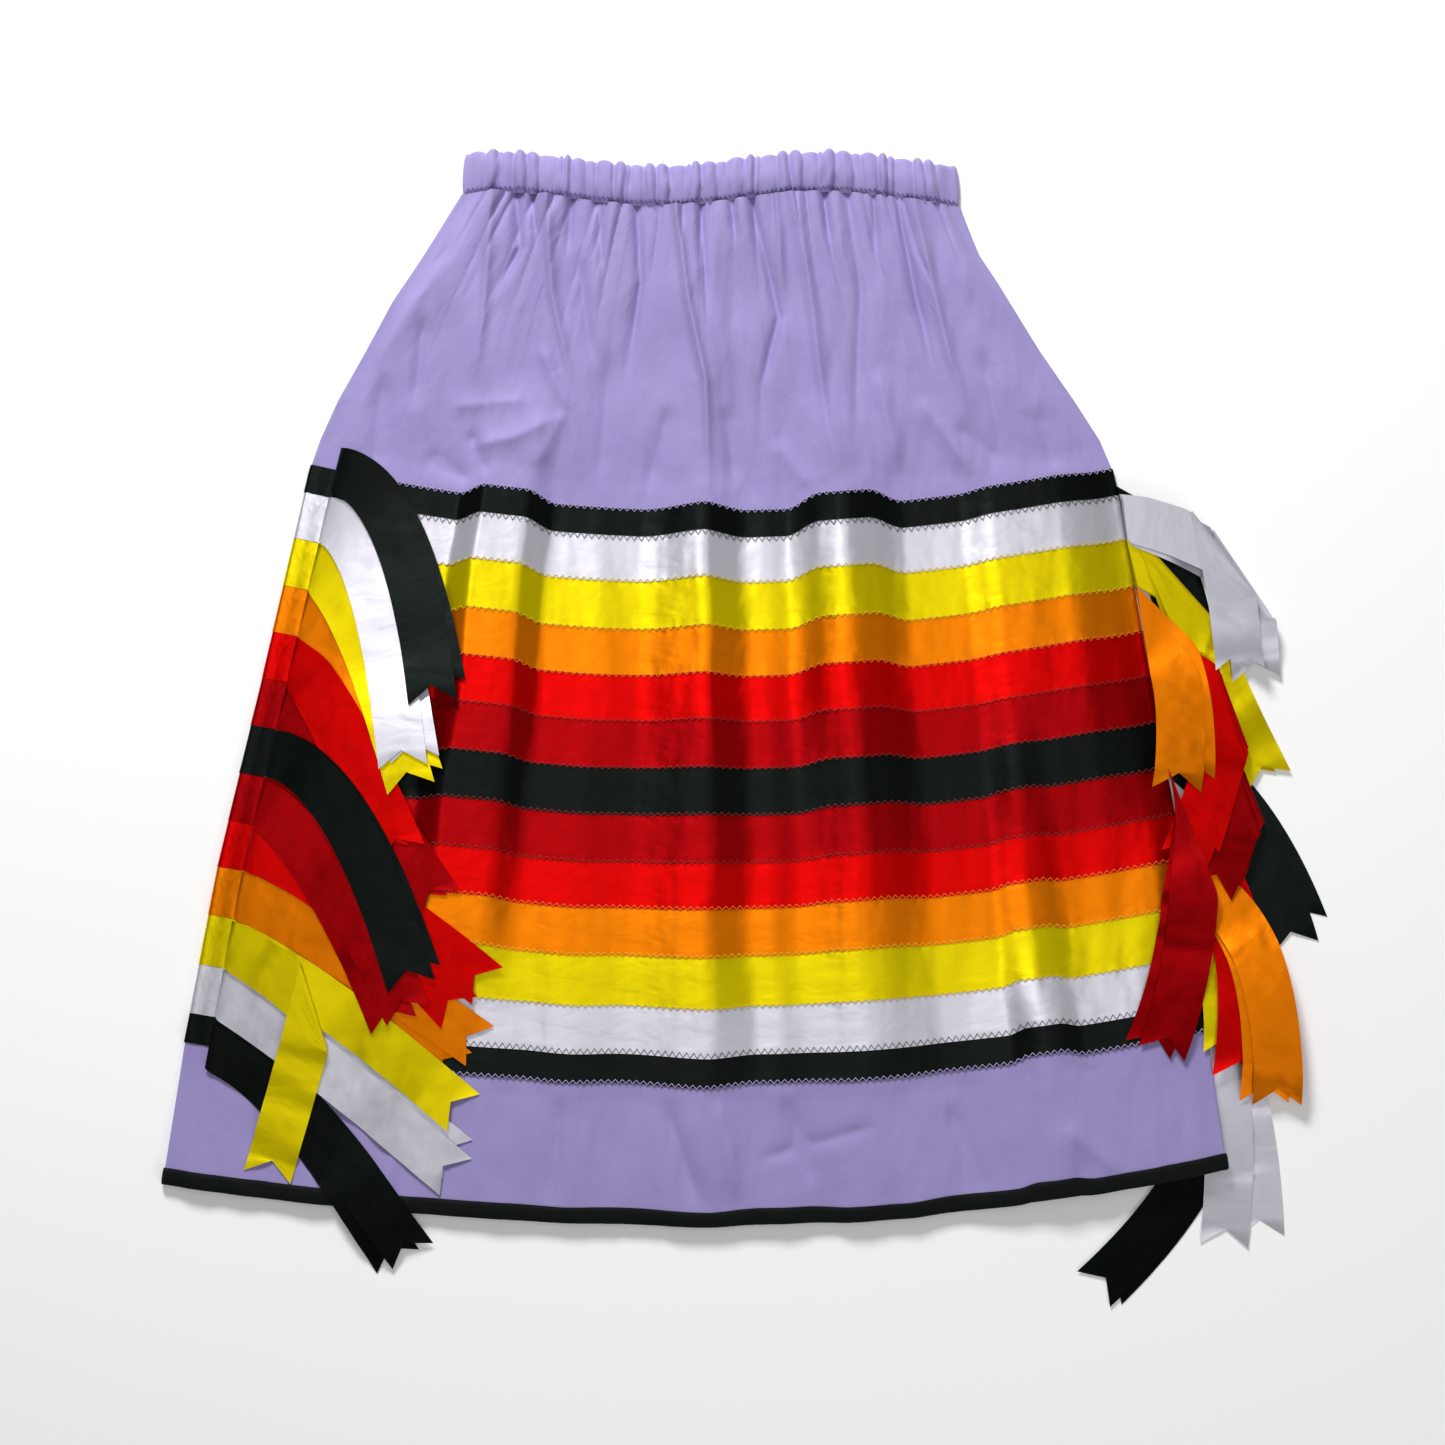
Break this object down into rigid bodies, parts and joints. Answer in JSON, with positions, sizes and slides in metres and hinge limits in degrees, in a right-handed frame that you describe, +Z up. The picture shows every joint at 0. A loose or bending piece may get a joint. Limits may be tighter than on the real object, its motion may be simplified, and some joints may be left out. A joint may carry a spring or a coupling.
{
  "type": "ribbon skirt",
  "caption": "Gathered cotton skirt with an elastic waist, satin ribbons sewn in bands across it and ribbon tails at both side seams, laid flat.",
  "frame": {"origin": "on the surface the skirt lies on, under the middle of the central ribbon of the back, below the front's centre crease", "axes": "+Z up out of the surface, +Y from the hem to the waistband, +X to the right of the skirt as it is seen from above"},
  "size_m": [0.9121, 0.9015, 0.0313],
  "materials": {
    "lavender_cotton": "plain-woven lavender cotton, matt with a faint sheen, gathered and creased",
    "black_binding": "matt black cotton tape folded over the hem",
    "black_satin": "black single-faced satin ribbon, soft gloss",
    "white_satin": "white satin ribbon, soft gloss",
    "yellow_satin": "yellow satin ribbon, soft gloss",
    "orange_satin": "orange satin ribbon, soft gloss",
    "red_satin": "red satin ribbon, soft gloss",
    "dark_red_satin": "dark red satin ribbon, soft gloss"
  },
  "bodies": {
    "root": {"skirt_front": "lavender_cotton", "skirt_back": "lavender_cotton", "waistband": "lavender_cotton", "hem_binding_front": "black_binding", "hem_binding_back": "black_binding", "ribbon_front_black_top": "black_satin", "ribbon_front_white_top": "white_satin", "ribbon_front_yellow_top": "yellow_satin", "ribbon_front_orange_top": "orange_satin", "ribbon_front_red_top": "red_satin", "ribbon_front_dark_red_top": "dark_red_satin", "ribbon_front_black_middle": "black_satin", "ribbon_front_dark_red_low": "dark_red_satin", "ribbon_front_red_low": "red_satin", "ribbon_front_orange_low": "orange_satin", "ribbon_front_yellow_low": "yellow_satin", "ribbon_front_white_low": "white_satin", "ribbon_front_black_low": "black_satin", "ribbon_back_black_top": "black_satin", "ribbon_back_white_top": "white_satin", "ribbon_back_yellow_top": "yellow_satin", "ribbon_back_orange_top": "orange_satin", "ribbon_back_red_top": "red_satin", "ribbon_back_dark_red_top": "dark_red_satin", "ribbon_back_black_middle": "black_satin", "ribbon_back_dark_red_low": "dark_red_satin", "ribbon_back_red_low": "red_satin", "ribbon_back_orange_low": "orange_satin", "ribbon_back_yellow_low": "yellow_satin", "ribbon_back_white_low": "white_satin", "ribbon_back_black_low": "black_satin", "tails_left_black_top": "black_satin", "tails_left_white_top": "white_satin", "tails_left_yellow_top": "yellow_satin", "tails_left_orange_top": "orange_satin", "tails_left_red_top": "red_satin", "tails_left_dark_red_top": "dark_red_satin", "tails_left_black_middle": "black_satin", "tails_left_dark_red_low": "dark_red_satin", "tails_left_red_low": "red_satin", "tails_left_orange_low": "orange_satin", "tails_left_yellow_low": "yellow_satin", "tails_left_white_low": "white_satin", "tails_left_black_low": "black_satin", "tails_right_black_top": "black_satin", "tails_right_white_top": "white_satin", "tails_right_yellow_top": "yellow_satin", "tails_right_orange_top": "orange_satin", "tails_right_red_top": "red_satin", "tails_right_dark_red_top": "dark_red_satin", "tails_right_black_middle": "black_satin", "tails_right_dark_red_low": "dark_red_satin", "tails_right_red_low": "red_satin", "tails_right_orange_low": "orange_satin", "tails_right_yellow_low": "yellow_satin", "tails_right_white_low": "white_satin", "tails_right_black_low": "black_satin"}
  },
  "joints": []
}
